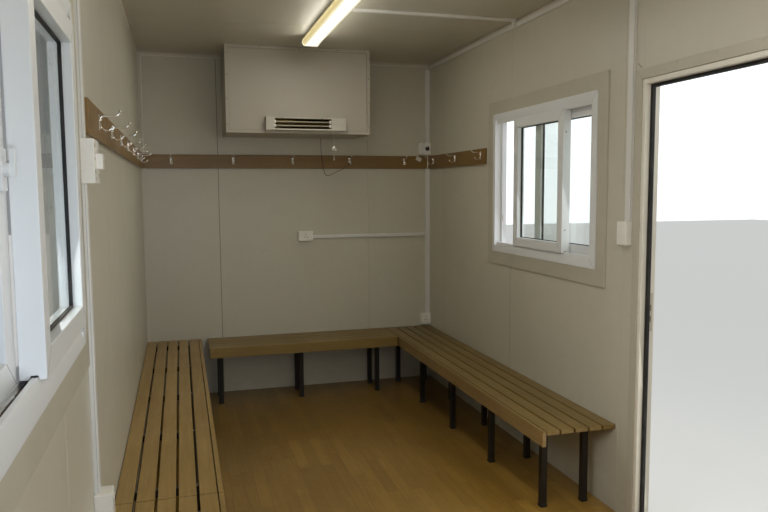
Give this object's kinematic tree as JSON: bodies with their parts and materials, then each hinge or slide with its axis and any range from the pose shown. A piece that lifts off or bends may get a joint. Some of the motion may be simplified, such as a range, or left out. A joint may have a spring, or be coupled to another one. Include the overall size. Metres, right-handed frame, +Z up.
{
  "type": "portable site cabin",
  "caption": "Portable site cabin with sandwich panel walls, sliding windows, an outward door, slatted benches, hook rails and a radiant heater.",
  "frame": {"origin": "on the ground under the middle of the cabin, on the underside of the chassis's centre bearer", "axes": "+X across the cabin towards the wall with the doorway, +Y along it towards the end wall with the service cover, +Z up"},
  "size_m": [3.259, 6.006, 2.888],
  "materials": {
    "wall_skin": "satin",
    "cover_paint": "satin",
    "trim_paint": "satin",
    "outside_trim": "satin",
    "chassis_steel": "satin",
    "deck_board": "matt",
    "floor_vinyl": "satin",
    "window_white": "gloss",
    "window_glass": "clear",
    "door_white": "satin",
    "door_seal": "matt",
    "sill_aluminium": "satin",
    "hinge_steel": "satin",
    "slat_wood": "satin",
    "rail_wood": "satin",
    "bench_steel": "satin",
    "hook_chrome": "polished",
    "light_white": "satin",
    "light_diffuser": "lit opal",
    "white_plastic": "satin",
    "knob_plastic": "satin",
    "heater_white": "gloss",
    "reflector_metal": "polished",
    "heater_tube": "matt",
    "cord_white": "matt",
    "bell_white": "gloss",
    "lead_dark": "matt"
  },
  "bodies": {
    "cabin": {"bench_cross_bars": "bench_steel", "bench_legs": "bench_steel", "bench_rails": "bench_steel", "cable_trunking": "white_plastic", "ceiling_trims": "trim_paint", "chassis_centre_bearer": "chassis_steel", "chassis_end_rails": "chassis_steel", "chassis_side_rails": "chassis_steel", "coat_hooks": "hook_chrome", "corner_angles_outside": "outside_trim", "corner_trims_inside": "trim_paint", "door_architrave": "door_white", "door_frame": "door_white", "door_hinges_fixed": "hinge_steel", "door_seal": "door_seal", "door_sill": "sill_aluminium", "end_bench_boards": "slat_wood", "far_end_wall": "wall_skin", "floor_deck": "deck_board", "floor_joists": "chassis_steel", "floor_vinyl": "floor_vinyl", "hanging_cord": "lead_dark", "heater_bars": "heater_tube", "heater_housing": "heater_white", "heater_reflector": "reflector_metal", "hook_rails": "rail_wood", "isolator_box": "white_plastic", "isolator_knob": "knob_plastic", "left_bench_boards": "slat_wood", "left_wall": "wall_skin", "light_bodies": "light_white", "light_diffusers": "light_diffuser", "near_end_wall": "wall_skin", "pull_cord": "cord_white", "pull_cord_bell": "bell_white", "right_bench_boards": "slat_wood", "right_wall_near_side": "wall_skin", "right_wall_over_door": "wall_skin", "right_wall_window_side": "wall_skin", "roof_edge_covers": "outside_trim", "roof_panels": "wall_skin", "service_cover": "cover_paint", "switch_and_socket_boxes": "white_plastic", "window_architraves": "window_white", "window_catches": "window_white", "window_frames": "window_white", "window_glass": "window_glass", "window_inner_sashes": "window_white", "window_outer_sashes": "window_white"},
    "door": {"door_leaf": "door_white", "door_hinges_moving": "hinge_steel", "door_handles": "hinge_steel"}
  },
  "joints": [
    {"name": "door_hinge", "type": "hinge", "parent": "cabin", "child": "door", "pos_m": [1.233, -0.7725, 1.2], "axis": [0, 0, -1], "range_deg": [-90, 75]}
  ]
}
